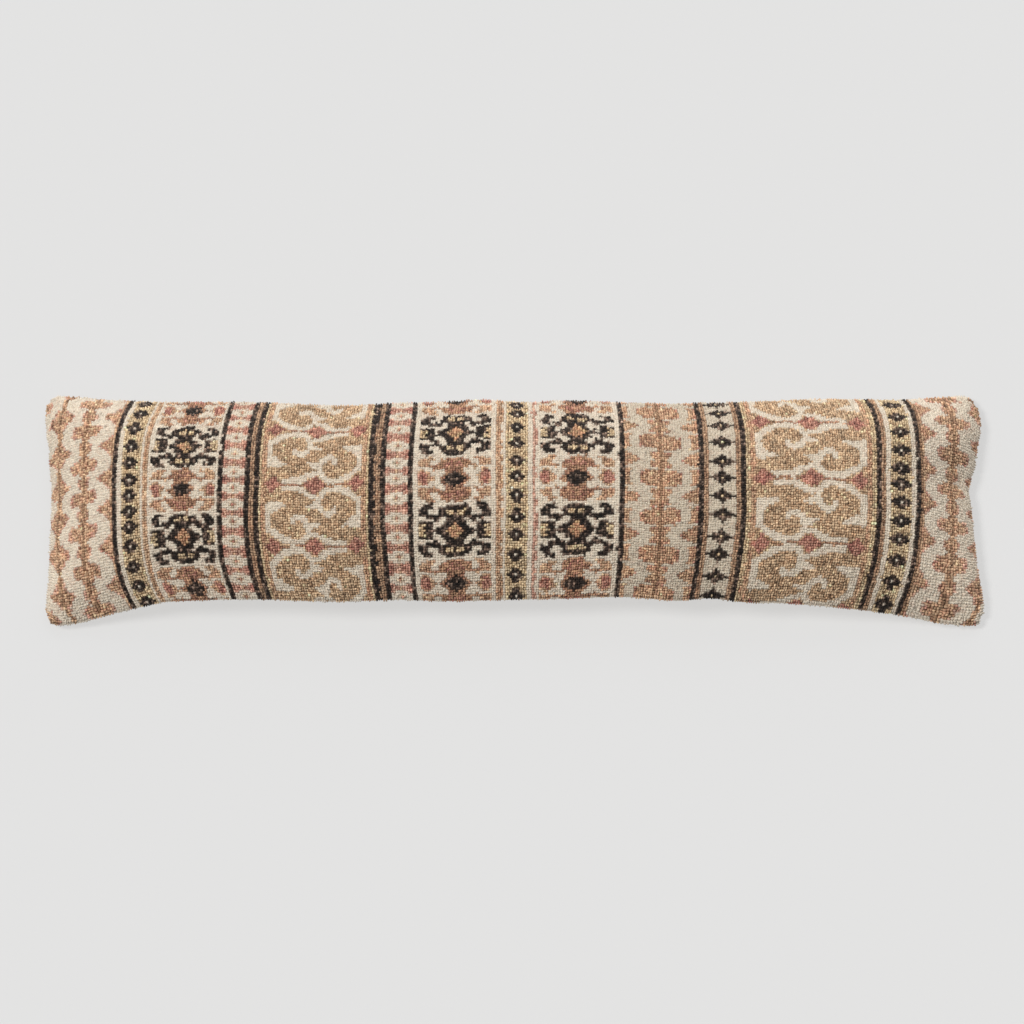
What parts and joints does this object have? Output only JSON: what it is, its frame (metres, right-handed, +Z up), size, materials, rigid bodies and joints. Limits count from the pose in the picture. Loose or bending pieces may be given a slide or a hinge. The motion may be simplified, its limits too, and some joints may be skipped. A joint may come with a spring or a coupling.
{
  "type": "lumbar pillow",
  "caption": "Long filled lumbar pillow with a banded loop-pile front, a plain back, a soft crown, drawn-in sides and thin rounded corners.",
  "frame": {"origin": "on the surface that the pillow lies on, below the middle of its length and width", "axes": "+X along the pillow's length, +Y across it, +Z up through the front panel"},
  "size_m": [1.1669, 0.3021, 0.096],
  "materials": {
    "wool_pile": "looped wool pile in cream, tan, gold, rose and brown-black bands, matt with a soft sheen",
    "plain_back": "undyed flat weave, matt"
  },
  "bodies": {
    "root": {"pillow": "wool_pile"}
  },
  "joints": []
}
